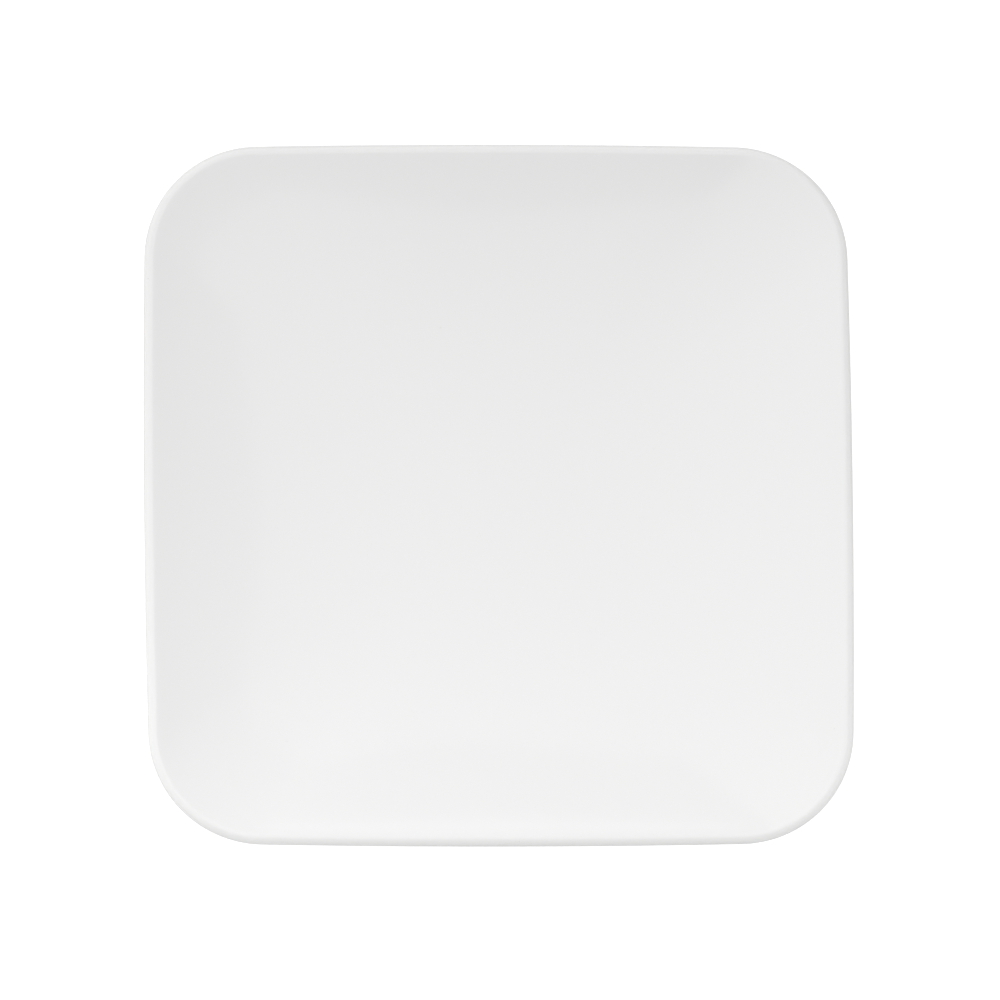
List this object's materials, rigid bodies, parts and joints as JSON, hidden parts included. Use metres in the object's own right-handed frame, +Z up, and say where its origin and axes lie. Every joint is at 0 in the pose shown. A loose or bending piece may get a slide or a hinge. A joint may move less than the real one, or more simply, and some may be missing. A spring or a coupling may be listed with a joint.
{
  "type": "square dinner plate",
  "caption": "Rounded-square dinner plate with a smooth dished eating surface, a round lip and an unglazed foot ring.",
  "frame": {"origin": "middle of the foot ring's standing face, at table height", "axes": "+Z up through the plate's middle, with X and Y each square to two of its sides"},
  "size_m": [0.26, 0.26, 0.026],
  "materials": {
    "bare_porcelain": "matte",
    "white_glaze": "gloss"
  },
  "bodies": {
    "root": {"porcelain_body": "bare_porcelain", "outer_glaze": "white_glaze", "base_glaze": "white_glaze"}
  },
  "joints": []
}
